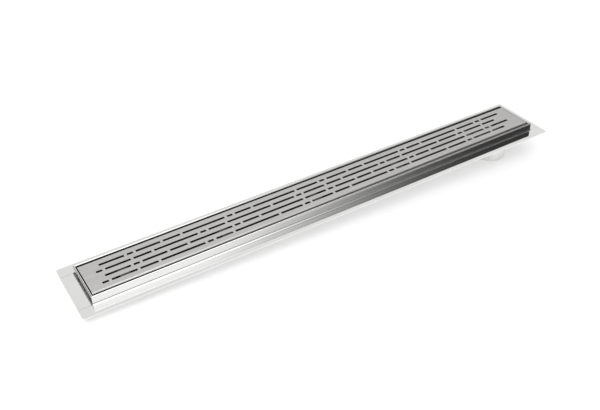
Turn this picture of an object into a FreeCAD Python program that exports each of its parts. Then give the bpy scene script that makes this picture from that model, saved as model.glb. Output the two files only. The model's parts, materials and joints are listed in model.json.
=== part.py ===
"""Stainless steel shower channel drain with a slotted cover, flange and siphon insert.

Millimetres, +Z up, +X along the channel towards the outlet end, +Y to the back.
The origin is under the middle of the channel, at the level of the outlet's lower end.
Each sub-part is written to parts/NODE.step.
"""
import FreeCAD, Part
import math
import os

Vector = FreeCAD.Vector

# ---- Driving dimensions -------------------------------------------------------------
# Channel: one folded sheet, open at the top, with a doubled rim and an outward flange
CHANNEL_LENGTH = 800.0       # outside of the rim, end to end
CHANNEL_WIDTH = 77.0         # outside of the rim, side to side
OVERALL_HEIGHT = 62.0        # rim down to the outlet's lower end
UPSTAND = 13.5               # rim above the flange
TROUGH_DEPTH = 26.0          # rim down to the trough's floor
SHEET = 1.2                  # sheet thickness of the channel
HEM_GAP = 0.4                # gap between the two layers of the rim
FLANGE_BEND = 2.5            # inner radius, upstand to flange
FLOOR_BEND = 1.2             # inner radius, trough wall to floor
SIDE_FLANGE = 20.0           # flange beyond the rim, long sides
END_FLANGE = 21.0            # flange beyond the rim, ends
FLANGE_CORNER = 4.0          # rounding of the flange's outer corners
SEAM = 0.3                   # open seam beside each end's flange tab

# Outlet
OUTLET_END_DISTANCE = 54.0   # rim's end to the outlet's axis
OUTLET_DIAMETER = 56.0       # outside, takes a push-fit pipe socket
OUTLET_WALL = 1.5
OUTLET_CHAMFER = 1.0
WELD_LEG = 2.5               # fillet weld between outlet and trough floor

# Cover
COVER_SHEET = 1.5
COVER_DEPTH = 12.0           # top face down to the edge of its folded sides
COVER_BEND = 1.0             # inner radius of the folded sides
COVER_SIDE_GAP = 3.2         # open gap to the rim along the long sides
COVER_END_GAP = 1.0
SLOT_WIDTH = 4.2
SLOT_CORNER = 0.5            # bevel of a slot's corners
SLOT_BRIDGE = 4.5            # metal between two slots of one row
ROW_PITCH = 12.8
ROW_COUNT = 4
SLOT_LENGTHS = {"dot": 9.0, "short": 27.0, "medium": 37.5, "long": 68.5, "longest": 73.5}
SLOT_ORDER = ("medium", "dot", "medium", "short", "long", "dot", "short", "longest")
ROW_START = (27.7, 19.2)     # cover's end to the first slot, even and odd rows
ROW_END_MARGIN = 15.0        # least metal from a row's last slot to the cover's end

# Straps that carry the cover, and their pads
STRAP_COUNT = 5
STRAP_WIDTH = 15.0
STRAP_SHEET = 1.5
STRAP_BEND = 0.5
STRAP_CLEARANCE = 0.3        # strap leg to the start of the floor's bend
STRAP_END_DISTANCE = 60.0    # rim's end to the first strap's middle
STRAP_OUTLET_SPACE = 45.0    # outlet's axis to the last strap's middle
PAD_LENGTH = 12.0
PAD_WIDTH = 5.0
PAD_THICKNESS = 1.5
PAD_OVERHANG = 0.3           # pad beyond the outer face of the cover's side
PAD_EDGE = 1.0               # bevel of the pad's upright edges

# Siphon insert, lifted out through the trough
INSERT_CLEARANCE = 0.5       # guide sleeve to outlet bore
SLEEVE_WALL = 2.7
SLEEVE_LENGTH = 12.0
COLLAR_OVERLAP = 4.0         # collar beyond the outlet bore
COLLAR_THICKNESS = 1.0
SEAL_THICKNESS = 1.0         # flat seal between the collar and the trough floor
OVERFLOW_GAP = 2.0           # cup to guide sleeve
CUP_WALL = 1.5
CUP_RIM_DROP = 9.0           # trough floor to the cup's rim
CUP_FLOOR_HEIGHT = 8.0       # cup's underside above the outlet's lower end
CUP_RIBS = 4
CUP_RIB_THICKNESS = 2.0
TUBE_RADIUS = 9.5            # dip tube, outside
TUBE_WALL = 1.5
TUBE_FOOT_GAP = 4.5          # dip tube's lower end above the cup's floor
DISH_RIM = 3.0               # dip tube's rim beyond the sleeve's bore
DISH_DROP = 4.0              # collar down to the dish around the tube
STRAINER_THICKNESS = 1.2
STRAINER_SLOTS = 12
STRAINER_SLOT_WIDTH = 2.2
STRAINER_SLOT_START = 7.0    # radii between which the slots run
STRAINER_SLOT_END = 20.0
KNOB_RADIUS = 4.0
KNOB_STEM_RADIUS = 2.5
KNOB_HEAD = 2.5              # height of the knob's head
KNOB_HEIGHT = 9.0

# Modelling
CUT_MARGIN = 2.0             # how far a cutter runs past what it cuts
NEAR = 1e-6                  # two places closer than this are the same

# ---- Levels and widths that follow --------------------------------------------------
RIM = 2 * SHEET + HEM_GAP                        # width of the doubled rim
Z_RIM = OVERALL_HEIGHT
Z_FLANGE = Z_RIM - UPSTAND                       # flange's upper face
Z_FLOOR = Z_RIM - TROUGH_DEPTH                   # trough floor's upper face
Z_UNDER = Z_FLOOR - SHEET                        # trough floor's underside
HALF_LENGTH = CHANNEL_LENGTH / 2
HALF_WIDTH = CHANNEL_WIDTH / 2
INNER_HALF_WIDTH = HALF_WIDTH - RIM
OUTLET_X = HALF_LENGTH - OUTLET_END_DISTANCE
OUTLET_RADIUS = OUTLET_DIAMETER / 2
BORE_RADIUS = OUTLET_RADIUS - OUTLET_WALL
COVER_HALF_LENGTH = HALF_LENGTH - RIM - COVER_END_GAP
COVER_HALF_WIDTH = INNER_HALF_WIDTH - COVER_SIDE_GAP
Z_COVER_FOOT = Z_RIM - COVER_DEPTH
Z_STRAP = Z_COVER_FOOT - PAD_THICKNESS           # strap's upper face
Z_SEAL = Z_FLOOR + SEAL_THICKNESS                # seal's upper face, collar's underside
Z_COLLAR = Z_SEAL + COLLAR_THICKNESS
COLLAR_RADIUS = BORE_RADIUS + COLLAR_OVERLAP
SLEEVE_RADIUS = BORE_RADIUS - INSERT_CLEARANCE
SLEEVE_BORE = SLEEVE_RADIUS - SLEEVE_WALL
CUP_RADIUS = SLEEVE_BORE - OVERFLOW_GAP
Z_SLEEVE_FOOT = Z_FLOOR - SLEEVE_LENGTH
Z_CUP_RIM = Z_FLOOR - CUP_RIM_DROP
DISH_RIM_RADIUS = SLEEVE_BORE + DISH_RIM
Z_STRAINER = Z_COLLAR + TUBE_WALL                # strainer's underside


# ---- Folded sheet -------------------------------------------------------------------
def folded_section(corners, radii, thickness):
    """Face of a folded sheet's section in the plane X = 0.

    corners are (y, z) points of the sheet's middle line, its two ends included.
    radii are the inner bend radii at the corners between the ends.
    Each bend is an arc that is tangent to both of its legs.
    """
    points = [Vector(0, y, z) for y, z in corners]
    half = thickness / 2
    legs = [(b - a).normalize() for a, b in zip(points, points[1:])]
    normals = [Vector(0, -leg.z, leg.y) for leg in legs]
    bends = []
    for point, radius, before, after in zip(points[1:], radii, legs, legs[1:]):
        middle_radius = radius + half
        turn = before.y * after.z - before.z * after.y
        side = 1.0 if turn > 0 else -1.0
        angle = before.getAngle(after)
        reach = middle_radius * math.tan(angle / 2)
        start = point - before * reach
        normal = Vector(0, -before.z, before.y) * side
        bends.append((start, point + after * reach, start + normal * middle_radius))

    def face_edges(offset):
        """Edges of one face of the sheet, at a signed distance from the middle line."""
        edges = []
        cursor = points[0] + normals[0] * offset
        for index, (start, end, centre) in enumerate(bends):
            leg_end = start + normals[index] * offset
            if (leg_end - cursor).Length > NEAR:
                edges.append(Part.LineSegment(cursor, leg_end).toShape())
            arc_end = end + normals[index + 1] * offset
            radius = (leg_end - centre).Length
            bisector = (leg_end - centre + arc_end - centre).normalize()
            middle = centre + bisector * radius
            edges.append(Part.Arc(leg_end, middle, arc_end).toShape())
            cursor = arc_end
        last = points[-1] + normals[-1] * offset
        edges.append(Part.LineSegment(cursor, last).toShape())
        return edges, points[0] + normals[0] * offset, last

    upper, upper_start, upper_end = face_edges(half)
    lower, lower_start, lower_end = face_edges(-half)
    ends = [Part.LineSegment(upper_start, lower_start).toShape(),
            Part.LineSegment(upper_end, lower_end).toShape()]
    wire = Part.Wire(Part.__sortEdges__(upper + lower + ends))
    return Part.Face(wire)


def extrude_x(face, start, length):
    """Sweep a section in the plane X = 0 along X, from start."""
    moved = face.copy()
    moved.translate(Vector(start, 0, 0))
    return moved.extrude(Vector(length, 0, 0))


def prism(points, bottom, top):
    """Upright prism over a plan outline of (x, y) points."""
    outline = [Vector(x, y, bottom) for x, y in points]
    face = Part.Face(Part.makePolygon(outline + outline[:1]))
    return face.extrude(Vector(0, 0, top - bottom))


def cylinder(radius, bottom, top, x=0.0, y=0.0):
    return Part.makeCylinder(radius, top - bottom, Vector(x, y, bottom))


def revolve(profile, x=0.0, y=0.0):
    """Turn an outline of (radius, z) points about an upright axis."""
    outline = [Vector(r, 0, z) for r, z in profile]
    face = Part.Face(Part.makePolygon(outline + outline[:1]))
    turned = face.revolve(Vector(0, 0, 0), Vector(0, 0, 1), 360)
    turned.translate(Vector(x, y, 0))
    return turned


# ---- Channel ------------------------------------------------------------------------
def rim_path(half_width):
    """Middle line from the trough wall over the doubled rim to the start of the flange."""
    outer = half_width - SHEET / 2
    inner = half_width - RIM + SHEET / 2
    top = Z_RIM - SHEET / 2
    return inner, outer, top


def corner_mitre(sign_x, sign_y, side):
    """Prism over the half of a rim corner that belongs to the other piece.

    side is "end" to cut the end plate's share off a long wall, or "wall" for the reverse.
    """
    x_outer, y_outer = sign_x * HALF_LENGTH, sign_y * HALF_WIDTH
    x_inner, y_inner = sign_x * (HALF_LENGTH - RIM), sign_y * (HALF_WIDTH - RIM)
    third = (x_outer, y_inner) if side == "end" else (x_inner, y_outer)
    return prism([(x_outer, y_outer), third, (x_inner, y_inner)], Z_UNDER - CUT_MARGIN, Z_RIM + CUT_MARGIN)


def channel_body():
    """Trough, both long upstands and both long flanges, folded from one sheet."""
    inner, outer, top = rim_path(HALF_WIDTH)
    flange = Z_FLANGE - SHEET / 2
    floor = Z_FLOOR - SHEET / 2
    edge = HALF_WIDTH + SIDE_FLANGE
    half = [(edge, flange), (outer, flange), (outer, top), (inner, top), (inner, floor)]
    corners = [(-y, z) for y, z in half] + half[::-1]
    bends = [FLANGE_BEND, HEM_GAP / 2, HEM_GAP / 2, FLOOR_BEND]
    section = folded_section(corners, bends + bends[::-1], SHEET)
    body = extrude_x(section, -HALF_LENGTH, CHANNEL_LENGTH)
    for sign_x in (-1, 1):
        for sign_y in (-1, 1):
            body = body.cut(corner_mitre(sign_x, sign_y, "end"))
            wing = flange_wing(sign_x, sign_y)
            body = body.fuse(wing)
        end_trim = Part.makeBox(RIM - SHEET, CHANNEL_WIDTH, CUT_MARGIN + SHEET + FLOOR_BEND)
        x_trim = HALF_LENGTH - RIM + SHEET if sign_x > 0 else -HALF_LENGTH
        end_trim.translate(Vector(x_trim, -HALF_WIDTH, Z_UNDER - CUT_MARGIN))
        body = body.cut(end_trim)
    body = body.cut(cylinder(OUTLET_RADIUS, Z_UNDER - CUT_MARGIN, Z_FLOOR + CUT_MARGIN, OUTLET_X))
    return body.removeSplitter()


def flange_wing(sign_x, sign_y):
    """Length of the long flange that runs past the trough's end, with its rounded corner."""
    wing = Part.makeBox(END_FLANGE, SIDE_FLANGE, SHEET)
    corner = [edge for edge in wing.Edges
              if abs(edge.CenterOfMass.x - END_FLANGE) < NEAR
              and abs(edge.CenterOfMass.y - SIDE_FLANGE) < NEAR]
    wing = wing.makeFillet(FLANGE_CORNER, corner)
    wing.translate(Vector(HALF_LENGTH, HALF_WIDTH, Z_FLANGE - SHEET))
    if sign_x < 0:
        wing = wing.mirror(Vector(0, 0, 0), Vector(1, 0, 0))
    if sign_y < 0:
        wing = wing.mirror(Vector(0, 0, 0), Vector(0, 1, 0))
    return wing


def end_plate(body):
    """End wall, upstand and flange tab of the outlet end, folded from one sheet.

    Its rim meets the long rims in a mitre, and its wall is trimmed to the trough's inside.
    """
    inner, outer, top = rim_path(HALF_LENGTH)
    flange = Z_FLANGE - SHEET / 2
    corners = [(inner, Z_FLOOR), (inner, top), (outer, top), (outer, flange),
               (HALF_LENGTH + END_FLANGE, flange)]
    section = folded_section(corners, [HEM_GAP / 2, HEM_GAP / 2, FLANGE_BEND], SHEET)
    section.rotate(Vector(0, 0, 0), Vector(0, 0, 1), -90)
    section.translate(Vector(0, -HALF_WIDTH, 0))
    plate = section.extrude(Vector(0, CHANNEL_WIDTH, 0))
    for sign_y in (-1, 1):
        plate = plate.cut(corner_mitre(1, sign_y, "wall"))
        tab_trim = Part.makeBox(END_FLANGE + CUT_MARGIN, SEAM, SHEET + FLANGE_BEND + CUT_MARGIN)
        y_trim = HALF_WIDTH - SEAM if sign_y > 0 else -HALF_WIDTH
        tab_trim.translate(Vector(HALF_LENGTH, y_trim, Z_FLANGE - SHEET - CUT_MARGIN))
        plate = plate.cut(tab_trim)
    return plate.cut(body).removeSplitter()


def outlet_spigot():
    """Round outlet welded into the trough floor, chamfered to enter a pipe socket."""
    return revolve([
        (BORE_RADIUS, 0), (OUTLET_RADIUS - OUTLET_CHAMFER, 0), (OUTLET_RADIUS, OUTLET_CHAMFER),
        (OUTLET_RADIUS, Z_UNDER - WELD_LEG), (OUTLET_RADIUS + WELD_LEG, Z_UNDER),
        (OUTLET_RADIUS, Z_UNDER), (OUTLET_RADIUS, Z_FLOOR), (BORE_RADIUS, Z_FLOOR)], OUTLET_X)


# ---- Cover --------------------------------------------------------------------------
def slot(x, y, length):
    """Cutter for one slot, from its left end x, with small bevelled corners."""
    corner = Vector(x, y - SLOT_WIDTH / 2, Z_RIM - COVER_SHEET - CUT_MARGIN)
    box = Part.makeBox(length, SLOT_WIDTH, COVER_SHEET + 2 * CUT_MARGIN, corner)
    upright = [edge for edge in box.Edges
               if abs(edge.Vertexes[0].Z - edge.Vertexes[1].Z) > COVER_SHEET]
    return box.makeChamfer(SLOT_CORNER, upright)


def next_slot(place):
    """Length of the slot at a place in the repeating order."""
    return SLOT_LENGTHS[SLOT_ORDER[place % len(SLOT_ORDER)]]


def cover():
    """Slotted cover plate with its long sides folded down."""
    side = COVER_HALF_WIDTH - COVER_SHEET / 2
    top = Z_RIM - COVER_SHEET / 2
    corners = [(-side, Z_COVER_FOOT), (-side, top), (side, top), (side, Z_COVER_FOOT)]
    section = folded_section(corners, [COVER_BEND, COVER_BEND], COVER_SHEET)
    plate = extrude_x(section, -COVER_HALF_LENGTH, 2 * COVER_HALF_LENGTH)
    cutters = []
    for row in range(ROW_COUNT):
        y = (ROW_COUNT - 1) / 2 * ROW_PITCH - row * ROW_PITCH
        x = -COVER_HALF_LENGTH + ROW_START[row % 2]
        place = row % 2
        while x + next_slot(place) <= COVER_HALF_LENGTH - ROW_END_MARGIN:
            cutters.append(slot(x, y, next_slot(place)))
            x += next_slot(place) + SLOT_BRIDGE
            place += 1
    return plate.cut(Part.makeCompound(cutters))


# ---- Straps and pads ----------------------------------------------------------------
def strap_places():
    """Middles of the straps, spread evenly from the plain end to the outlet."""
    first = -HALF_LENGTH + STRAP_END_DISTANCE
    last = OUTLET_X - STRAP_OUTLET_SPACE
    step = (last - first) / (STRAP_COUNT - 1)
    return [first + step * index for index in range(STRAP_COUNT)]


def strap(x):
    """Bridge-shaped strap that stands on the trough floor and carries the cover."""
    side = INNER_HALF_WIDTH - FLOOR_BEND - STRAP_CLEARANCE - STRAP_SHEET / 2
    top = Z_STRAP - STRAP_SHEET / 2
    corners = [(-side, Z_FLOOR), (-side, top), (side, top), (side, Z_FLOOR)]
    section = folded_section(corners, [STRAP_BEND, STRAP_BEND], STRAP_SHEET)
    return extrude_x(section, x - STRAP_WIDTH / 2, STRAP_WIDTH)


def pad(x, sign_y):
    """Rubber pad between a strap and the lower edge of the cover's folded side."""
    middle = sign_y * (COVER_HALF_WIDTH + PAD_OVERHANG - PAD_WIDTH / 2)
    corner = Vector(x - PAD_LENGTH / 2, middle - PAD_WIDTH / 2, Z_STRAP)
    block = Part.makeBox(PAD_LENGTH, PAD_WIDTH, PAD_THICKNESS, corner)
    upright = [edge for edge in block.Edges
               if abs(edge.Vertexes[0].Z - edge.Vertexes[1].Z) > PAD_THICKNESS / 2]
    return block.makeChamfer(PAD_EDGE, upright)


# ---- Siphon insert ------------------------------------------------------------------
def siphon_cup():
    """Water-seal cup, hung by ribs in a guide sleeve whose collar rests on the flat seal."""
    sleeve = revolve([
        (SLEEVE_BORE, Z_COLLAR), (COLLAR_RADIUS, Z_COLLAR), (COLLAR_RADIUS, Z_SEAL),
        (SLEEVE_RADIUS, Z_SEAL), (SLEEVE_RADIUS, Z_SLEEVE_FOOT),
        (SLEEVE_BORE, Z_SLEEVE_FOOT)], OUTLET_X)
    inside = CUP_RADIUS - CUP_WALL
    floor = CUP_FLOOR_HEIGHT + CUP_WALL
    cup = revolve([
        (0, CUP_FLOOR_HEIGHT), (CUP_RADIUS, CUP_FLOOR_HEIGHT), (CUP_RADIUS, Z_CUP_RIM),
        (inside, Z_CUP_RIM), (inside, floor), (0, floor)], OUTLET_X)
    ribs = []
    rib_height = Z_CUP_RIM - Z_SLEEVE_FOOT
    rib_reach = SLEEVE_BORE - inside
    for index in range(CUP_RIBS):
        rib = Part.makeBox(rib_reach, CUP_RIB_THICKNESS, rib_height,
                           Vector(inside + CUP_WALL / 2, -CUP_RIB_THICKNESS / 2, Z_SLEEVE_FOOT))
        rib.rotate(Vector(0, 0, 0), Vector(0, 0, 1), 45 + 360 / CUP_RIBS * index)
        rib.translate(Vector(OUTLET_X, 0, 0))
        ribs.append(rib)
    return sleeve.multiFuse([cup] + ribs).removeSplitter()


def seal_ring():
    """Flat rubber ring between the sleeve's collar and the trough floor."""
    return revolve([
        (BORE_RADIUS, Z_FLOOR), (COLLAR_RADIUS, Z_FLOOR),
        (COLLAR_RADIUS, Z_SEAL), (BORE_RADIUS, Z_SEAL)], OUTLET_X)


def dip_tube():
    """Dished disc whose tube dips into the cup's water; its rim lies on the collar."""
    foot = CUP_FLOOR_HEIGHT + CUP_WALL + TUBE_FOOT_GAP
    bore = TUBE_RADIUS - TUBE_WALL
    wall = SLEEVE_BORE - INSERT_CLEARANCE
    dish = Z_COLLAR - DISH_DROP
    return revolve([
        (bore, foot), (TUBE_RADIUS, foot), (TUBE_RADIUS, dish - TUBE_WALL), (wall, dish - TUBE_WALL),
        (wall, Z_COLLAR), (DISH_RIM_RADIUS, Z_COLLAR), (DISH_RIM_RADIUS, Z_STRAINER),
        (wall - TUBE_WALL, Z_STRAINER), (wall - TUBE_WALL, dish), (bore, dish)], OUTLET_X)


def hair_strainer():
    """Disc with radial slots and a lifting knob, lying on the dished disc's rim."""
    top = Z_STRAINER + STRAINER_THICKNESS
    stem_top = top + KNOB_HEIGHT - KNOB_HEAD
    disc = cylinder(DISH_RIM_RADIUS, Z_STRAINER, top)
    cutters = []
    for index in range(STRAINER_SLOTS):
        corner = Vector(STRAINER_SLOT_START, -STRAINER_SLOT_WIDTH / 2, Z_STRAINER - CUT_MARGIN)
        cutter = Part.makeBox(STRAINER_SLOT_END - STRAINER_SLOT_START, STRAINER_SLOT_WIDTH,
                              STRAINER_THICKNESS + 2 * CUT_MARGIN, corner)
        cutter.rotate(Vector(0, 0, 0), Vector(0, 0, 1), 360 / STRAINER_SLOTS * index)
        cutters.append(cutter)
    stem = cylinder(KNOB_STEM_RADIUS, Z_STRAINER, stem_top)
    head = cylinder(KNOB_RADIUS, stem_top, top + KNOB_HEIGHT)
    strainer = disc.cut(Part.makeCompound(cutters)).multiFuse([stem, head]).removeSplitter()
    strainer.translate(Vector(OUTLET_X, 0, 0))
    return strainer


# ---- All sub-parts ------------------------------------------------------------------
def build():
    body = channel_body()
    right = end_plate(body)
    parts = {
        "channel_body": body,
        "end_plate_right": right,
        "end_plate_left": right.mirror(Vector(0, 0, 0), Vector(1, 0, 0)),
        "outlet_spigot": outlet_spigot(),
        "cover_grate": cover(),
        "siphon_cup": siphon_cup(),
        "siphon_seal_ring": seal_ring(),
        "siphon_dip_tube": dip_tube(),
        "hair_strainer": hair_strainer(),
    }
    for number, x in enumerate(strap_places(), start=1):
        parts[f"support_strap_{number}"] = strap(x)
        parts[f"pad_front_{number}"] = pad(x, -1)
        parts[f"pad_back_{number}"] = pad(x, 1)
    return parts


os.makedirs("parts", exist_ok=True)
for name, shape in build().items():
    shape.exportStep(f"parts/{name}.step")
    print(f"{name}: {len(shape.Solids)} solid, {shape.Volume:.1f} mm3, valid {shape.isValid()}")
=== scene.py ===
"""Looks of a stainless steel channel drain: bright folded channel, brushed slotted cover, siphon.

Metres, in the frame of the CAD part: +X along the channel towards the outlet, +Z up.
"""
import json
import math

import bmesh
import bpy
import numpy as np
from mathutils import Matrix, Vector


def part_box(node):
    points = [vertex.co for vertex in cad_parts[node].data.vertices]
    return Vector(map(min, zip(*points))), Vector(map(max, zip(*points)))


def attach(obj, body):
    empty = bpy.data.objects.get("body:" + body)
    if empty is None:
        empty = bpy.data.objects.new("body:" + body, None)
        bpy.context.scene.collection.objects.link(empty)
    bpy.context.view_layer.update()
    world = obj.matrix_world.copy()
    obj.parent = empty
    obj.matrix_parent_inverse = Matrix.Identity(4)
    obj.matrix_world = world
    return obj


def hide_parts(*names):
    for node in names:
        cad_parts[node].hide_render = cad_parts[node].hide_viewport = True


MM = 0.001

# ---- Camera and floor ---------------------------------------------------------------
CAMERA_PLACE = (-0.5515, -0.8514, 0.7844)
CAMERA_YAW = math.radians(30.51)       # turned from +Y towards +X
CAMERA_PITCH = math.radians(36.74)     # looking down
CAMERA_ROLL = math.radians(-1.90)
CAMERA_SENSOR = 36.0
CAMERA_LENS = 47.5
CAMERA_CLIP = (0.01, 50.0)
FLOOR_REACH = 6.0
FLOOR_DROP = 0.1 * MM                  # floor below the drain's contact lines
FLOOR_COLOUR = (0.95, 0.95, 0.95)
FLOOR_GLOW = 0.44                      # share of the floor's white that its shadows don't darken
FOOT_BAND = 0.1 * MM                   # points this close to a node's lowest one are its foot

# ---- Light that shades the drain ----------------------------------------------------
KEY_PLACE = (-2.0, -2.2, 3.2)
KEY_AIM = (0.0, 0.0, 0.05)
KEY_SIZE = (2.6, 3.0)
KEY_POWER = 125.0

# ---- Studio that the steel mirrors --------------------------------------------------
# A pair of bearings is in degrees, a pair called SIDE, FRONT or HEIGHT is the x, y or z of the
# direction looked in. Each part fades in from its pair's first value to its second.
BACK_WALL = 0.86
SCREEN = 0.045                         # dark screen at the front right
FRONT_WALL = 1.2                       # front wall left of the screen, brighter than it by this
FRONT_WALL_BEARINGS = (50.0, 17.0)
FRONT_WALL_POWER = 1.5                 # draws the fade towards the wall
FRONT_LEFT_SHARE = 0.5                 # brightness that the front wall keeps at its left end
FRONT_LEFT_BEARINGS = (-25.0, 5.0)
RIGHT_WALL = 0.75                      # wall past the screen, brighter than it by this
RIGHT_WALL_BEARINGS = (105.0, 150.0)
FRONT_HALF = (0.10, -0.10)
CURTAIN = 0.28                         # dark curtain at the back left
CURTAIN_START_BEARINGS = (8.0, 22.0)
CURTAIN_END_BEARINGS = (115.0, 90.0)
CEILING = 0.55
CEILING_HEIGHT = (0.76, 0.92)
LAMP = 1.6                             # overhead lamp, brighter than the ceiling by this
LAMP_SIDE = (0.55, 0.20)
LAMP_HEIGHT = (0.995, 0.965)
SKIRTING = 0.10                        # brightness of the dark skirting, as a share of the wall's
WALL_HEIGHT = (0.20, 0.46)             # from the skirting to the wall
UNDERFOOT = 0.6                        # below the horizon, beyond the floor's reach
UNDERFOOT_HEIGHT = (0.0, -0.10)

# ---- Channel and outlet, as in the part ---------------------------------------------
CHANNEL_SHEET = 1.2 * MM
TROUGH_HALF_WIDTH = 35.7 * MM          # inside
FLANGE_TOP = 48.5 * MM
END_FLANGE = 21.0 * MM
FLANGE_SEAM = 0.3 * MM                 # open seam beside each end's flange tab
OUTLET_RADIUS = 28.0 * MM
RIM = 2.8 * MM                         # width of the doubled rim

# ---- Inside of the trough: where its dull finish and painted shade fade in ----------
DULL_AND_SHADE_END_FADE = 0.6 * MM
DULL_AND_SHADE_SIDE_FADE = 0.4 * MM
DULL_AND_SHADE_TOP = (0.9 * MM, 1.6 * MM)        # below the rim
DULL_AND_SHADE_FOOT = (0.7 * MM, 0.2 * MM)       # below the end plates

# ---- Smooth skins over the rim and the bends ----------------------------------------
BEND_SKIN_RADIUS = 2.95 * MM           # upstand to flange, clear of the sheet's faceted bend
SKIN = 0.03 * MM                       # how far the smooth skins lie over the sheet
SKIN_STEPS = 24                        # faces round a half circle

# ---- Cover, laid out as in the part -------------------------------------------------
COVER_SHEET = 1.5 * MM
COVER_BEND = 2.5 * MM                  # outer radius of the folded sides
BEND_STEPS = 12
EDGE_BREAK = 0.15 * MM                 # broken edge round each slot and at the cover's ends
SLOT_WIDTH = 4.2 * MM
SLOT_BRIDGE = 4.5 * MM
ROW_PITCH = 12.8 * MM
ROW_COUNT = 4
SLOT_LENGTHS = {"dot": 9.0 * MM, "short": 27.0 * MM, "medium": 37.5 * MM,
                "long": 68.5 * MM, "longest": 73.5 * MM}
SLOT_ORDER = ("medium", "dot", "medium", "short", "long", "dot", "short", "longest")
ROW_START = (27.7 * MM, 19.2 * MM)
ROW_END_MARGIN = 15.0 * MM
SLACK = 0.01 * MM                      # two lines of the cover's grid closer than this are one

# ---- Welds --------------------------------------------------------------------------
RIPPLE_PITCH = 0.9 * MM
RIPPLE = 0.14                          # swell of a weld's size from ripple to ripple
BOW = 0.5 * MM                         # how far a ripple's crown runs ahead of its edges
WELD_STEP = 0.15 * MM
BEAD_STEPS = 8                         # faces across a bead
OUTLET_WELD = (3.8 * MM, 0.6 * MM)     # width and height of the bead
OUTLET_WELD_LEG = 2.5 * MM
SEAM_WELD = (2.4 * MM, 0.45 * MM)
END_WELD = (2.6 * MM, 0.6 * MM)
END_WELD_HEIGHT = 10.0 * MM
SEAM_WELD_START = 3.0 * MM             # from the upstand to the start of the bead


# ---- Shader maths -------------------------------------------------------------------
class Term:
    """An output socket in a node tree; arithmetic on it adds Math nodes."""

    def __init__(self, recipe, socket):
        self.recipe = recipe
        self.socket = socket

    def math(self, operation, *values):
        return self.recipe.node("ShaderNodeMath", {"operation": operation}, values)

    def __add__(self, other):
        return self.math("ADD", self, other)

    def __sub__(self, other):
        return self.math("SUBTRACT", self, other)

    def __rsub__(self, other):
        return self.math("SUBTRACT", other, self)

    def __mul__(self, other):
        return self.math("MULTIPLY", self, other)

    def __pow__(self, other):
        return self.math("POWER", self, other)

    __radd__ = __add__
    __rmul__ = __mul__

    def clamp(self):
        return self.recipe.node("ShaderNodeClamp", {}, {"Value": self})


class Recipe:
    """A material's or the world's node tree, written as expressions."""

    def __init__(self, owner):
        owner.use_nodes = True
        self.tree = owner.node_tree
        self.tree.nodes.clear()

    def node(self, kind, settings=None, inputs=(), output=0):
        """Add a node: settings first, then the values or links of its sockets, by name or order."""
        made = self.tree.nodes.new(kind)
        for name, value in (settings or {}).items():
            setattr(made, name, value)
        pairs = inputs.items() if isinstance(inputs, dict) else enumerate(inputs)
        for key, value in pairs:
            if isinstance(value, Term):
                self.tree.links.new(value.socket, made.inputs[key])
            else:
                made.inputs[key].default_value = value
        return Term(self, made.outputs[output]) if made.outputs else made

    def place(self, scale):
        """Object coordinates, stretched per axis."""
        where = self.node("ShaderNodeTexCoord", output="Object")
        return self.node("ShaderNodeMapping", {}, {"Vector": where, "Scale": scale})

    def axes(self, coordinates):
        """x, y and z of a kind of texture coordinates."""
        where = self.node("ShaderNodeTexCoord", output=coordinates)
        parts = self.node("ShaderNodeSeparateXYZ", {}, {"Vector": where}).socket.node
        return [Term(self, parts.outputs[name]) for name in "XYZ"]

    def ray(self, kind):
        """1 for the rays of a kind, such as Camera or Glossy, and 0 for others."""
        return self.node("ShaderNodeLightPath", output=f"Is {kind} Ray")

    def noise(self, scale, detail=2.0, roughness=0.5):
        """Noise from 0 to 1, its scale in features per metre along each axis."""
        return self.node("ShaderNodeTexNoise", {}, {"Vector": self.place(scale), "Scale": 1.0,
                                                    "Detail": detail, "Roughness": roughness})

    def step(self, value, low, high):
        """Smooth step from 0 at low to 1 at high."""
        return self.node("ShaderNodeMapRange", {"interpolation_type": "SMOOTHSTEP"},
                         {"Value": value, "From Min": low, "From Max": high})

    def blend(self, factor, first, second):
        """Colour mix from first to second."""
        made = self.node("ShaderNodeMix", {"data_type": "RGBA"}, {"Factor": factor}, output="Result")
        mix = made.socket.node
        for name, value in (("A", first), ("B", second)):
            socket = next(s for s in mix.inputs if s.name == name and s.type == "RGBA")
            if isinstance(value, Term):
                self.tree.links.new(value.socket, socket)
            else:
                socket.default_value = (*value, 1.0)
        colour = next(s for s in mix.outputs if s.type == "RGBA")
        return Term(self, colour)

    def bump(self, height, strength, distance, **under):
        """Relief of a height, laid over the relief given as Normal if there is one."""
        return self.node("ShaderNodeBump", {}, {"Height": height, "Strength": strength,
                                                "Distance": distance, **under})

    def finish(self, **sockets):
        """Principled surface with the given sockets, as the material's output."""
        values = {name.replace("_", " "): value for name, value in sockets.items()}
        surface = self.node("ShaderNodeBsdfPrincipled", {}, values)
        self.node("ShaderNodeOutputMaterial", {}, {"Surface": surface})


def material(name):
    """New material and the recipe that fills it."""
    made = bpy.data.materials.new(name)
    return made, Recipe(made)


# ---- Materials ----------------------------------------------------------------------
def inside_trough(r):
    """1 on the trough's inner faces, below the rim, where the dull finish and painted shade go, and 0 on
    its bright outside.
    """
    x, y, z = r.axes("Object")
    low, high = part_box("end_plate_right")
    along = r.step(x.math("ABSOLUTE", x), low.x + DULL_AND_SHADE_END_FADE, low.x)
    across = r.step(y.math("ABSOLUTE", y), TROUGH_HALF_WIDTH + DULL_AND_SHADE_SIDE_FADE, TROUGH_HALF_WIDTH)
    below = r.step(z, high.z - DULL_AND_SHADE_TOP[0], high.z - DULL_AND_SHADE_TOP[1])
    above = r.step(z, low.z - DULL_AND_SHADE_FOOT[0], low.z - DULL_AND_SHADE_FOOT[1])
    return along * across * below * above


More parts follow.
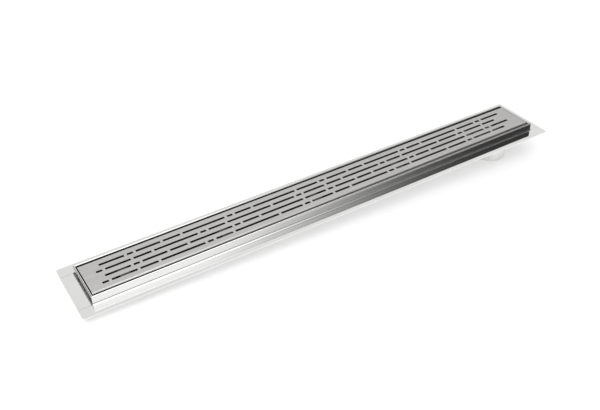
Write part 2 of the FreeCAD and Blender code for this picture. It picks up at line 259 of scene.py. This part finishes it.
def bright_steel():
    """Bright cold-rolled sheet: nearly a mirror outside; inside the trough dull, with painted shade
    darkening its colour.
    """
    made, r = material("bright_steel")
    inside = inside_trough(r)
    grain = r.noise((6, 900, 900), detail=3.0)
    wave = r.noise((5, 16, 16), detail=1.0)
    smudge = r.step(r.noise((28, 28, 28), detail=4.0, roughness=0.6), 0.45, 0.75)
    bright = r.blend(r.noise((9, 30, 30), detail=3.0), (0.80, 0.80, 0.79), (0.88, 0.88, 0.875))
    # painted shade: the inside's colour is darkened nearly to black to stand for the shade in the
    # trough; the smudges vary it at random
    painted_shade_colour = r.blend(smudge, (0.06, 0.06, 0.058), (0.10, 0.099, 0.095))
    polished = 0.03 + 0.03 * grain + 0.04 * smudge
    rough = polished + inside * (0.40 - polished)
    relief = r.bump(grain, 0.03, 0.05 * MM, Normal=r.bump(wave, 0.25, 0.4 * MM))
    r.finish(Base_Color=r.blend(inside, bright, painted_shade_colour), Metallic=1.0, Roughness=rough, Normal=relief)
    return made


def brushed_cover():
    """Cover plate brushed along its length, with long fine streaks."""
    made, r = material("brushed_cover")
    fine = r.noise((14, 2600, 2600), detail=3.0)
    streak = r.noise((7, 420, 420), detail=2.0)
    patch = r.noise((11, 26, 26), detail=3.0)
    tone = (0.5 * fine + 0.3 * streak + 0.2 * patch).clamp()
    colour = r.blend(r.step(tone, 0.32, 0.68), (0.51, 0.507, 0.495), (0.66, 0.655, 0.638))
    rough = 0.24 + 0.12 * fine + 0.05 * patch
    relief = r.bump(fine + 0.6 * streak, 0.25, 0.03 * MM)
    r.finish(Base_Color=colour, Metallic=1.0, Roughness=rough, Normal=relief)
    return made


def cut_edge():
    """Laser-cut edge: darkened, with fine upright striations."""
    made, r = material("cut_edge")
    lines = r.noise((2200, 2200, 60), detail=2.0)
    colour = r.blend(lines, (0.04, 0.038, 0.035), (0.11, 0.105, 0.097))
    r.finish(Base_Color=colour, Metallic=1.0, Roughness=0.45 + 0.2 * lines,
             Normal=r.bump(lines, 0.4, 0.03 * MM))
    return made


def cover_underside():
    """Unbrushed inner face of the cover, its colour kept dark as painted shade."""
    made, r = material("cover_underside")
    haze = r.noise((60, 60, 60), detail=3.0)
    # painted shade: the underside's colour is darkened to stand for the shade under the cover
    colour = r.blend(haze, (0.07, 0.069, 0.065), (0.11, 0.108, 0.105))
    r.finish(Base_Color=colour, Metallic=1.0, Roughness=0.42 + 0.1 * haze)
    return made


def weld_steel():
    """Weld metal: bright ripples with straw and grey heat tint."""
    made, r = material("weld_steel")
    tint = r.noise((180, 180, 180), detail=3.0)
    colour = r.blend(r.step(tint, 0.35, 0.65), (0.42, 0.40, 0.38), (0.66, 0.63, 0.57))
    r.finish(Base_Color=colour, Metallic=1.0, Roughness=0.24 + 0.16 * tint)
    return made


def mill_steel():
    """Plain strip with a dull mill finish."""
    made, r = material("mill_steel")
    grain = r.noise((400, 30, 400), detail=3.0)
    colour = r.blend(grain, (0.30, 0.30, 0.293), (0.40, 0.40, 0.392))
    r.finish(Base_Color=colour, Metallic=1.0, Roughness=0.38 + 0.12 * grain,
             Normal=r.bump(grain, 0.2, 0.03 * MM))
    return made


def outlet_steel():
    """Drawn tube: satin, with faint drawing lines up its height."""
    made, r = material("outlet_steel")
    lines = r.noise((700, 700, 12), detail=3.0)
    patch = r.noise((40, 40, 60), detail=3.0)
    colour = r.blend((0.6 * lines + 0.4 * patch).clamp(), (0.74, 0.74, 0.73), (0.88, 0.88, 0.87))
    r.finish(Base_Color=colour, Metallic=1.0, Roughness=0.20 + 0.10 * lines + 0.06 * patch,
             Normal=r.bump(lines, 0.15, 0.03 * MM))
    return made


def siphon_plastic():
    """Grey moulded plastic with a fine spark-eroded surface; its colour is kept darker than the part's
    record says, as painted shade inside the trough.
    """
    made, r = material("siphon_plastic")
    speck = r.noise((1500, 1500, 1500), detail=2.0)
    tint = r.noise((60, 60, 60), detail=2.0)
    # painted shade: the plastic's grey is darkened to stand for the shade it sits in under the cover
    colour = r.blend(tint, (0.18, 0.184, 0.18), (0.22, 0.225, 0.22))
    r.finish(Base_Color=colour, Roughness=0.42 + 0.12 * speck, Normal=r.bump(speck, 0.2, 0.05 * MM))
    return made


def rubber():
    """Matt black rubber with a dusty bloom."""
    made, r = material("rubber")
    bloom = r.noise((220, 220, 220), detail=4.0)
    colour = r.blend(bloom, (0.018, 0.018, 0.018), (0.055, 0.055, 0.053))
    r.finish(Base_Color=colour, Roughness=0.62 + 0.2 * bloom, Normal=r.bump(bloom, 0.3, 0.05 * MM))
    return made


def dress_nodes(frame, finishes):
    """Give every CAD node the material of its slot in the record."""
    for row in frame["record"]["subparts"]:
        mesh = frame["nodes"][row["node"]].data
        mesh.materials.clear()
        mesh.materials.append(finishes[row["material_slot"]])


# ---- Stage --------------------------------------------------------------------------
def lowest_left(node):
    """(x, z) of the left-hand end of a CAD node's lowest face."""
    mesh = bpy.data.objects[node].data
    points = np.empty(len(mesh.vertices) * 3)
    mesh.vertices.foreach_get("co", points)
    points = points.reshape(-1, 3)
    foot = points[points[:, 2] < points[:, 2].min() + FOOT_BAND]
    return foot[:, 0].min(), foot[:, 2].min()


def floor_plane():
    """Floor through the two edges the drain rests on: the trough's left end and the outlet.

    z = outlet_z + slope * (x - outlet_x) - FLOOR_DROP, with the slope from the two contact lines.
    """
    trough_x, trough_z = lowest_left("channel_body")
    outlet_x, outlet_z = lowest_left("outlet_spigot")
    slope = (outlet_z - trough_z) / (outlet_x - trough_x)
    reach = np.array([-FLOOR_REACH, FLOOR_REACH])
    grid_x, grid_y = np.meshgrid(reach, reach)
    grid_z = outlet_z + slope * (grid_x - outlet_x) - FLOOR_DROP
    points = np.stack([grid_x, grid_y, grid_z], axis=-1).reshape(-1, 3)
    floor = mesh_object("floor", points, [(0, 1, 3, 2)], [floor_paper()])


def floor_paper():
    """White paper. Part of its white is seen unshaded, also in the steel, so the shadows stay light."""
    made, r = material("floor_paper")
    seen = r.ray("Camera") + r.ray("Glossy")
    paper = r.node("ShaderNodeBsdfDiffuse", {}, {"Color": (*FLOOR_COLOUR, 1.0)})
    glow = r.node("ShaderNodeEmission", {}, {"Color": (1.0, 1.0, 1.0, 1.0), "Strength": 1.0})
    mixed = r.node("ShaderNodeMixShader", {}, {0: seen * FLOOR_GLOW, 1: paper, 2: glow})
    r.node("ShaderNodeOutputMaterial", {}, {"Surface": mixed})
    return made


def camera():
    """Camera at its place, turned by yaw, pitch and roll; its axes are worked out from the angles."""
    yaw, pitch, roll = CAMERA_YAW, CAMERA_PITCH, CAMERA_ROLL
    ahead = Vector((math.sin(yaw) * math.cos(pitch), math.cos(yaw) * math.cos(pitch),
                    -math.sin(pitch)))
    level = Vector((math.cos(yaw), -math.sin(yaw), 0.0))
    upright = level.cross(ahead)
    right = level * math.cos(roll) + upright * math.sin(roll)
    up = upright * math.cos(roll) - level * math.sin(roll)
    data = bpy.data.cameras.new("camera")
    data.sensor_width = CAMERA_SENSOR
    data.lens = CAMERA_LENS
    data.clip_start, data.clip_end = CAMERA_CLIP
    made = bpy.data.objects.new("camera", data)
    bpy.context.scene.collection.objects.link(made)
    turn = Matrix((right, up, -ahead)).transposed().to_4x4()
    made.matrix_world = Matrix.Translation(CAMERA_PLACE) @ turn
    bpy.context.scene.camera = made


def area_light(name, place, aim, size, power):
    """Soft light that the steel doesn't mirror."""
    data = bpy.data.lights.new(name, "AREA")
    data.shape = "RECTANGLE"
    data.size, data.size_y = size
    data.energy = power
    made = bpy.data.objects.new(name, data)
    bpy.context.scene.collection.objects.link(made)
    made.visible_glossy = False
    made.location = place
    made.rotation_euler = (Vector(aim) - Vector(place)).to_track_quat("-Z", "Y").to_euler()


def studio():
    """Room that the bright sheet mirrors, white to the camera itself.

    Bearing turns from -Y towards +X, and behind turns from +Y towards -X. The front wall is dimmer at
    its left end and gives way to a dark screen at the front right. A dark curtain hangs at the back
    left. The lamp overhead is dimmer towards +X and straight above, a dark skirting runs along the
    floor, and what lies below the horizon is grey.
    """
    world = bpy.data.worlds.new("studio")
    bpy.context.scene.world = world
    r = Recipe(world)
    x, y, z = r.axes("Generated")
    bearing = x.math("ARCTAN2", x, 0.0 - y) * (180 / math.pi)
    left_end = FRONT_LEFT_SHARE + (1.0 - FRONT_LEFT_SHARE) * r.step(bearing, *FRONT_LEFT_BEARINGS)
    lit = r.step(bearing, *FRONT_WALL_BEARINGS) ** FRONT_WALL_POWER * left_end
    front = SCREEN + FRONT_WALL * lit + RIGHT_WALL * r.step(bearing, *RIGHT_WALL_BEARINGS)
    behind = x.math("ARCTAN2", 0.0 - x, y) * (180 / math.pi)
    curtain = r.step(behind, *CURTAIN_START_BEARINGS) * r.step(behind, *CURTAIN_END_BEARINGS)
    back = BACK_WALL + curtain * (CURTAIN - BACK_WALL)
    wall = back + r.step(y, *FRONT_HALF) * (front - back)
    overhead = CEILING + LAMP * r.step(x, *LAMP_SIDE) * r.step(z, *LAMP_HEIGHT)
    upper = wall + r.step(z, *CEILING_HEIGHT) * (overhead - wall)
    room = upper * (SKIRTING + (1.0 - SKIRTING) * r.step(z, *WALL_HEIGHT))
    radiance = room + r.step(z, *UNDERFOOT_HEIGHT) * (UNDERFOOT - room)
    seen = radiance + r.ray("Camera") * (1.0 - radiance)
    background = r.node("ShaderNodeBackground", {}, {"Color": (1, 1, 1, 1), "Strength": seen})
    r.node("ShaderNodeOutputWorld", {}, {"Surface": background})


# ---- Pieces -------------------------------------------------------------------------
def mesh_object(name, points, faces, materials):
    """Mesh object at the origin, from points in the part's frame."""
    mesh = bpy.data.meshes.new(name)
    mesh.from_pydata(np.asarray(points).reshape(-1, 3).tolist(), [], [list(face) for face in faces])
    for made in materials:
        mesh.materials.append(made)
    piece = bpy.data.objects.new(name, mesh)
    bpy.context.scene.collection.objects.link(piece)
    return piece


def grid_faces(rows, columns):
    """Quads of a grid of points, listed row by row; each is (row, column) of its first corner."""
    row, column = np.meshgrid(np.arange(rows - 1), np.arange(columns - 1), indexing="ij")
    first = row * columns + column
    return np.stack([first, first + columns, first + columns + 1, first + 1], axis=-1)


def slot_boxes(half_length):
    """(x start, x end, y start, y end) of every slot: each row is filled while the next slot fits."""
    boxes = []
    for row in range(ROW_COUNT):
        y = ((ROW_COUNT - 1) / 2 - row) * ROW_PITCH
        x = -half_length + ROW_START[row % 2]
        place = row % 2
        while True:
            length = SLOT_LENGTHS[SLOT_ORDER[place % len(SLOT_ORDER)]]
            if x + length > half_length - ROW_END_MARGIN:
                break
            boxes.append((x, x + length, y - SLOT_WIDTH / 2, y + SLOT_WIDTH / 2))
            x += length + SLOT_BRIDGE
            place += 1
    return np.array(boxes)


def cover_section(half_width, foot, top, flat_lines):
    """Outer line of the cover's section: up a leg, round a quarter circle, over the flat and down.

    A bend is y = centre_y + COVER_BEND cos(a), z = centre_z + COVER_BEND sin(a), a quarter turn.
    """
    turn = np.linspace(0.0, math.pi / 2, BEND_STEPS + 1)
    centre_y, centre_z = half_width - COVER_BEND, top - COVER_BEND
    bend_y = centre_y + COVER_BEND * np.cos(turn)
    bend_z = centre_z + COVER_BEND * np.sin(turn)
    back_y = np.concatenate([[half_width], bend_y])
    back_z = np.concatenate([[foot], bend_z])
    y = np.concatenate([-back_y, flat_lines, back_y[::-1]])
    z = np.concatenate([back_z, np.full(len(flat_lines), top), back_z[::-1]])
    return y, z


def cover_plate(finishes):
    """Slotted cover: its folded section swept along X, with the cells inside the slots left out.

    Points on a slot's outline and at the cover's ends sink by the broken edge. Solidify gives the sheet
    its thickness, with the cut edge as the second finish and the underside as the third.
    """
    low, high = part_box("cover_grate")
    slots = slot_boxes(high.x)
    x_slot, y_slot = slots[:, :2], slots[:, 2:]
    spread = np.array([-EDGE_BREAK, EDGE_BREAK])
    ends = [low.x, low.x + EDGE_BREAK, high.x - EDGE_BREAK, high.x]
    x = np.unique(np.concatenate([x_slot.ravel(), (x_slot + spread).ravel(), ends]).round(6))
    lines = np.unique(np.concatenate([y_slot.ravel(), (y_slot + spread).ravel()]).round(6))
    y, z = cover_section(high.y, low.z, high.z, lines)
    grid_x, grid_y = np.meshgrid(x, y, indexing="ij")
    grid_z = np.broadcast_to(z, grid_x.shape).copy()
    sunk = (grid_x < low.x + SLACK) | (grid_x > high.x - SLACK)
    middle_x, middle_y = (x[1:] + x[:-1]) / 2, (y[1:] + y[:-1]) / 2
    open_cell = np.zeros((len(x) - 1, len(y) - 1), bool)
    on_top = z > high.z - SLACK
    for x0, x1, y0, y1 in slots:
        inside_x = (x > x0 - SLACK) & (x < x1 + SLACK)
        inside_y = (y > y0 - SLACK) & (y < y1 + SLACK) & on_top
        sunk |= inside_x[:, None] & inside_y[None, :]
        open_x = (middle_x > x0) & (middle_x < x1)
        open_y = (middle_y > y0) & (middle_y < y1)
        open_cell |= open_x[:, None] & open_y[None, :]
    grid_z -= np.where(sunk, EDGE_BREAK, 0.0)
    faces = grid_faces(len(x), len(y))[~open_cell]
    points = np.stack([grid_x, grid_y, grid_z], axis=-1)
    piece = mesh_object("cover_plate", points, faces, finishes)
    drop_loose(piece)
    sheet = piece.modifiers.new("sheet", "SOLIDIFY")
    sheet.thickness = COVER_SHEET
    sheet.offset = -1.0
    sheet.material_offset_rim = 1
    sheet.material_offset = 2
    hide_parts("cover_grate")
    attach(piece, "root")


def smooth_sheet(name, points, finish):
    """Smooth-shaded piece from a grid of (x, y, z) points."""
    piece = mesh_object(name, points, grid_faces(*points.shape[:2]).reshape(-1, 4), [finish])
    for face in piece.data.polygons:
        face.use_smooth = True
    return piece


def skin(name, sections, finish):
    """Smooth strip through equal sections, each an array of (x, y, z) points."""
    piece = smooth_sheet(name, np.stack(sections), finish)
    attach(piece, "root")


def rim_skins(finish):
    """Round top of the rim, one strip a side, mitred at the corners.

    Round the rim's middle line the section is out = R cos(a), up = R sin(a), with a from 0 to half a
    turn, and a short straight leg below each end.
    """
    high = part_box("end_plate_right")[1]
    radius = RIM / 2 + SKIN
    turn = np.linspace(0.0, math.pi, SKIN_STEPS + 1)
    out = np.concatenate([[radius], radius * np.cos(turn), [-radius]])
    up = np.concatenate([[-RIM], radius * np.sin(turn), [-RIM]])
    half_length, half_width = high.x - END_FLANGE - RIM / 2, high.y - RIM / 2
    z = high.z - radius + up
    corners = [(-1, -1), (1, -1), (1, 1), (-1, 1), (-1, -1)]
    for number, pair in enumerate(zip(corners, corners[1:]), start=1):
        sections = [np.stack([sx * (half_length + out), sy * (half_width + out), z], axis=-1)
                    for sx, sy in pair]
        skin(f"rim_skin_{number}", sections, finish)


def bend_skins(finish):
    """Hollow bends from the upstand to the flange.

    out = SKIN + R (1 - cos(a)) and up = SKIN + R (1 - sin(a)), with a through a quarter turn.
    """
    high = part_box("end_plate_right")[1]
    half_length, half_width = high.x - END_FLANGE, high.y
    tab_half_width = half_width - FLANGE_SEAM
    turn = np.linspace(0.0, math.pi / 2, SKIN_STEPS // 2 + 1)
    out = SKIN + BEND_SKIN_RADIUS * (1.0 - np.cos(turn))
    z = FLANGE_TOP + SKIN + BEND_SKIN_RADIUS * (1.0 - np.sin(turn))
    for name, sign in (("front", -1), ("back", 1)):
        y = sign * (half_width + out)
        skin(f"bend_skin_{name}", [np.stack([np.full_like(y, x), y, z], axis=-1)
                                   for x in (-half_length, half_length)], finish)
    for name, sign in (("left", -1), ("right", 1)):
        x = sign * (half_length + out)
        skin(f"bend_skin_{name}", [np.stack([x, np.full_like(x, y), z], axis=-1)
                                   for y in (-tab_half_width, tab_half_width)], finish)


def drop_loose(piece):
    """Remove the points that no face uses."""
    work = bmesh.new()
    work.from_mesh(piece.data)
    loose = [point for point in work.verts if not point.link_faces]
    bmesh.ops.delete(work, geom=loose, context="VERTS")
    work.to_mesh(piece.data)
    work.free()


def arc_lengths(points):
    """Arc length from a line's first point to each of its points."""
    steps = np.linalg.norm(np.diff(points, axis=0), axis=1)
    return np.concatenate([[0.0], np.cumsum(steps)])


def resample(points, step):
    """Points at even arc lengths along a polyline."""
    points = np.asarray(points, float)
    along = arc_lengths(points)
    places = np.linspace(0.0, along[-1], max(2, round(along[-1] / step) + 1))
    return np.stack([np.interp(places, along, points[:, axis]) for axis in range(3)], axis=-1)


def weld_bead(name, path, out, size, finish):
    """Weld bead: half an ellipse swept along a path, swelling once per ripple as the pool froze.

    At arc length s the section is path + swell(s) * (width/2 cos(a) side + height sin(a) out), with a
    from 0 to half a turn and swell(s) = 1 + RIPPLE * cos(2 pi s / RIPPLE_PITCH). Each ripple bows
    forward: a point at angle a lies BOW * sin(a) further along the path.
    """
    width, height = size
    tangent = np.gradient(path, axis=0)
    tangent /= np.linalg.norm(tangent, axis=1, keepdims=True)
    out = np.broadcast_to(out, path.shape)
    side = np.cross(out, tangent)
    swell = 1.0 + RIPPLE * np.cos(2 * math.pi * arc_lengths(path) / RIPPLE_PITCH)
    turn = np.linspace(0.0, math.pi, BEAD_STEPS + 1)
    across = (width / 2 * np.cos(turn))[None, :, None] * side[:, None, :]
    raised = (height * np.sin(turn))[None, :, None] * out[:, None, :]
    ahead = (BOW * np.sin(turn))[None, :, None] * tangent[:, None, :]
    points = path[:, None, :] + swell[:, None, None] * (across + raised) + ahead
    piece = smooth_sheet(name, points, finish)
    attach(piece, "root")


def outlet_weld(finish):
    """Bead laid on the fillet round the outlet, under the trough floor."""
    low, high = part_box("outlet_spigot")
    radius = OUTLET_RADIUS + OUTLET_WELD_LEG / 2
    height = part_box("channel_body")[0].z - OUTLET_WELD_LEG / 2
    count = int(2 * math.pi * radius / WELD_STEP)
    turn = np.linspace(0.0, 2 * math.pi, count + 1)
    radial = np.stack([np.cos(turn), np.sin(turn), np.zeros_like(turn)], axis=-1)
    path = np.array([(low.x + high.x) / 2, 0.0, height]) + radius * radial
    out = (radial - np.array([0.0, 0.0, 1.0])) / math.sqrt(2)
    weld_bead("outlet_weld", path, out, OUTLET_WELD, finish)


def end_welds(finish):
    """Beads that close the trough's ends: up one side, along the floor and up the other."""
    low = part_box("end_plate_right")[0]
    floor, top = low.z, low.z + END_WELD_HEIGHT
    face, reach = low.x + CHANNEL_SHEET, TROUGH_HALF_WIDTH
    for name, sign in (("end_weld_left", -1), ("end_weld_right", 1)):
        corners = [(sign * face, -reach, top), (sign * face, -reach, floor),
                   (sign * face, reach, floor), (sign * face, reach, top)]
        out = np.array([float(sign), 0.0, 0.0])
        weld_bead(name, resample(corners, WELD_STEP), out, END_WELD, finish)


def seam_welds(finish):
    """Beads under the four seams between the flange's long strips and its end tabs."""
    tab_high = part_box("end_plate_right")[1]
    under = FLANGE_TOP - CHANNEL_SHEET
    start = tab_high.x - END_FLANGE + SEAM_WELD_START
    for number, (sign_x, sign_y) in enumerate(((-1, -1), (-1, 1), (1, -1), (1, 1)), start=1):
        y = sign_y * tab_high.y
        ends = [(sign_x * start, y, under), (sign_x * (tab_high.x - SEAM_WELD[0]), y, under)]
        weld_bead(f"seam_weld_{number}", resample(ends, WELD_STEP), np.array([0.0, 0.0, -1.0]),
                  SEAM_WELD, finish)


# ---- Scene --------------------------------------------------------------------------
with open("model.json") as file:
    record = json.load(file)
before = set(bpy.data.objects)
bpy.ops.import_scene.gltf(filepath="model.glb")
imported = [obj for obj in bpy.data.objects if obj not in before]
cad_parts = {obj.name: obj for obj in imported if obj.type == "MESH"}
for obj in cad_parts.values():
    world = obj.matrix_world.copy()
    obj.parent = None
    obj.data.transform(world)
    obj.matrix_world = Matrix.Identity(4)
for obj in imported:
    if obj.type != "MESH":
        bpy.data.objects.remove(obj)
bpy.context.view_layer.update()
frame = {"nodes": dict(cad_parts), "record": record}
camera()
studio()
floor_plane()
area_light("key", KEY_PLACE, KEY_AIM, KEY_SIZE, KEY_POWER)
brushed, bright = brushed_cover(), bright_steel()
dress_nodes(frame, {
    "bright_steel": bright,
    "brushed_cover": brushed,
    "outlet_steel": outlet_steel(),
    "strap_steel": mill_steel(),
    "siphon_plastic": siphon_plastic(),
    "rubber": rubber(),
})
welded = weld_steel()
cover_plate([brushed, cut_edge(), cover_underside()])
rim_skins(bright)
bend_skins(bright)
outlet_weld(welded)
end_welds(welded)
seam_welds(welded)
bpy.context.scene.view_settings.view_transform = "Standard"
